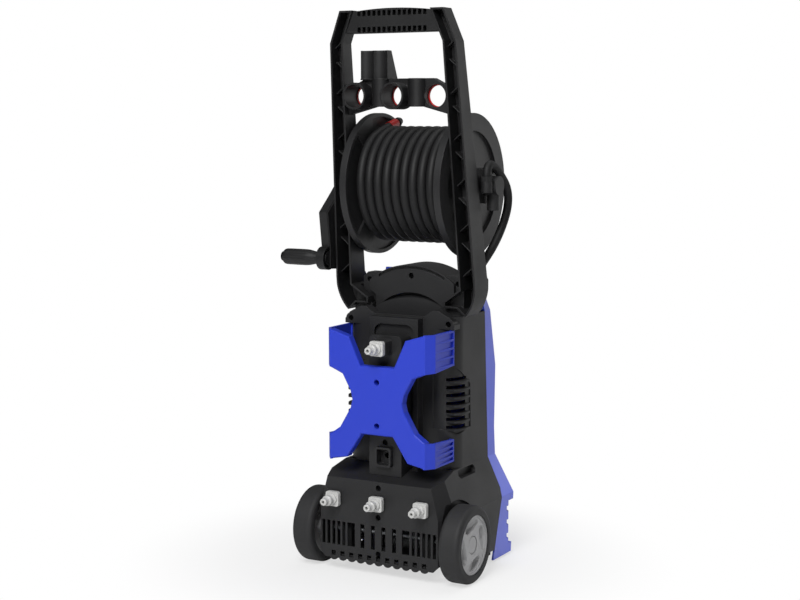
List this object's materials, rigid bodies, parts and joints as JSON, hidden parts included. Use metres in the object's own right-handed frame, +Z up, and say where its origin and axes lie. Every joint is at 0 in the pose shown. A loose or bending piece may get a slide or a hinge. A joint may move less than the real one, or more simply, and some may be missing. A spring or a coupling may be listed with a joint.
{
  "type": "pressure washer",
  "caption": "Upright electric pressure washer on two wheels, with a crank hose reel between its handle arms, a lance holder, stored spray nozzles and a cord wrap.",
  "frame": {"origin": "on the floor, under the middle of the machine's bounding box", "axes": "+Z up; +Y towards the front with the water inlet, so the spray nozzles and cord wrap face -Y; +X to the right as seen from the rear, the crank being on -X"},
  "size_m": [0.3534, 0.288, 0.853],
  "materials": {
    "casing_plastic": "matte charcoal plastic",
    "handle_plastic": "matte charcoal plastic",
    "blue_plastic": "blue semi-gloss plastic",
    "nozzle_plastic": "white plastic",
    "accent_plastic": "red plastic",
    "wheel_plastic": "mid-grey plastic",
    "tyre_rubber": "black rubber",
    "hose_rubber": "black rubber hose",
    "foot_rubber": "black rubber",
    "steel": "plain steel",
    "brass": "plain brass",
    "aluminium": "cast aluminium",
    "lamination": "varnished laminations"
  },
  "bodies": {
    "machine": {"rear_casing": "casing_plastic", "front_cover": "blue_plastic", "top_cover": "casing_plastic", "chassis": "casing_plastic", "rear_spine": "casing_plastic", "cord_inlet": "casing_plastic", "cord_wrap": "blue_plastic", "handle_arm_left": "handle_plastic", "handle_arm_right": "handle_plastic", "handle_grip": "handle_plastic", "lance_holder": "handle_plastic", "holder_rings": "accent_plastic", "reel_bush_left": "handle_plastic", "reel_bush_right": "handle_plastic", "swivel_elbow": "casing_plastic", "lead_nut": "casing_plastic", "lead_hose": "hose_rubber", "hose_gland": "casing_plastic", "axle": "steel", "axle_caps": "wheel_plastic", "front_feet": "foot_rubber", "pump_head": "aluminium", "pump_body": "aluminium", "pistons": "steel", "swash_housing": "aluminium", "motor_plate_lower": "aluminium", "motor_plate_upper": "aluminium", "motor_bearings": "steel", "motor_can": "steel", "stator": "lamination", "capacitor": "aluminium", "water_inlet": "brass", "inlet_pipe": "hose_rubber", "outlet_pipe": "hose_rubber", "switch_box": "casing_plastic", "screws": "steel"},
    "wheel_left": {"tyre_left": "tyre_rubber", "wheel_disc_left": "wheel_plastic"},
    "wheel_right": {"tyre_right": "tyre_rubber", "wheel_disc_right": "wheel_plastic"},
    "reel": {"reel_spindle": "steel", "reel_drum": "casing_plastic", "reel_flange_left": "casing_plastic", "reel_flange_right": "casing_plastic", "hose_core": "hose_rubber", "hose_winding": "hose_rubber", "hose_end_collar": "accent_plastic", "hose_end_tip": "casing_plastic", "crank_arm": "handle_plastic", "crank_pin": "steel"},
    "crank_handle": {"crank_grip": "handle_plastic"},
    "motor_rotor": {"rotor": "lamination", "rotor_shaft": "steel", "fan": "casing_plastic", "swash_plate": "steel"},
    "knob": {"switch_knob": "accent_plastic"},
    "nozzle_left": {"spray_nozzle_left": "nozzle_plastic"},
    "nozzle_centre": {"spray_nozzle_centre": "nozzle_plastic"},
    "nozzle_right": {"spray_nozzle_right": "nozzle_plastic"},
    "nozzle_top": {"spray_nozzle_top": "nozzle_plastic"}
  },
  "joints": [
    {"name": "wheel_left_spin", "type": "hinge", "parent": "machine", "child": "wheel_left", "pos_m": [-0.09435, -0.066, 0.059], "axis": [1, 0, 0], "continuous": true},
    {"name": "wheel_right_spin", "type": "hinge", "parent": "machine", "child": "wheel_right", "pos_m": [0.15965, -0.066, 0.059], "axis": [1, 0, 0], "continuous": true},
    {"name": "reel_spin", "type": "hinge", "parent": "machine", "child": "reel", "pos_m": [0.03265, 0.037, 0.589], "axis": [1, 0, 0], "continuous": true},
    {"name": "crank_handle_spin", "type": "hinge", "parent": "reel", "child": "crank_handle", "pos_m": [-0.13885, -0.042, 0.4745], "axis": [1, 0, 0], "continuous": true},
    {"name": "rotor_spin", "type": "hinge", "parent": "machine", "child": "motor_rotor", "pos_m": [0.03265, 0.017, 0.24], "axis": [0, 0, 1], "continuous": true},
    {"name": "switch_turn", "type": "hinge", "parent": "machine", "child": "knob", "pos_m": [0.03265, 0.085, 0.425], "axis": [0, 1, 0], "range_deg": [0, 90]},
    {"name": "nozzle_left_pull", "type": "slide", "parent": "machine", "child": "nozzle_left", "axis": [0, -1, 0], "range_m": [0, 0.03]},
    {"name": "nozzle_centre_pull", "type": "slide", "parent": "machine", "child": "nozzle_centre", "axis": [0, -1, 0], "range_m": [0, 0.03]},
    {"name": "nozzle_right_pull", "type": "slide", "parent": "machine", "child": "nozzle_right", "axis": [0, -1, 0], "range_m": [0, 0.03]},
    {"name": "nozzle_top_pull", "type": "slide", "parent": "machine", "child": "nozzle_top", "axis": [0, -1, 0], "range_m": [0, 0.03]}
  ]
}
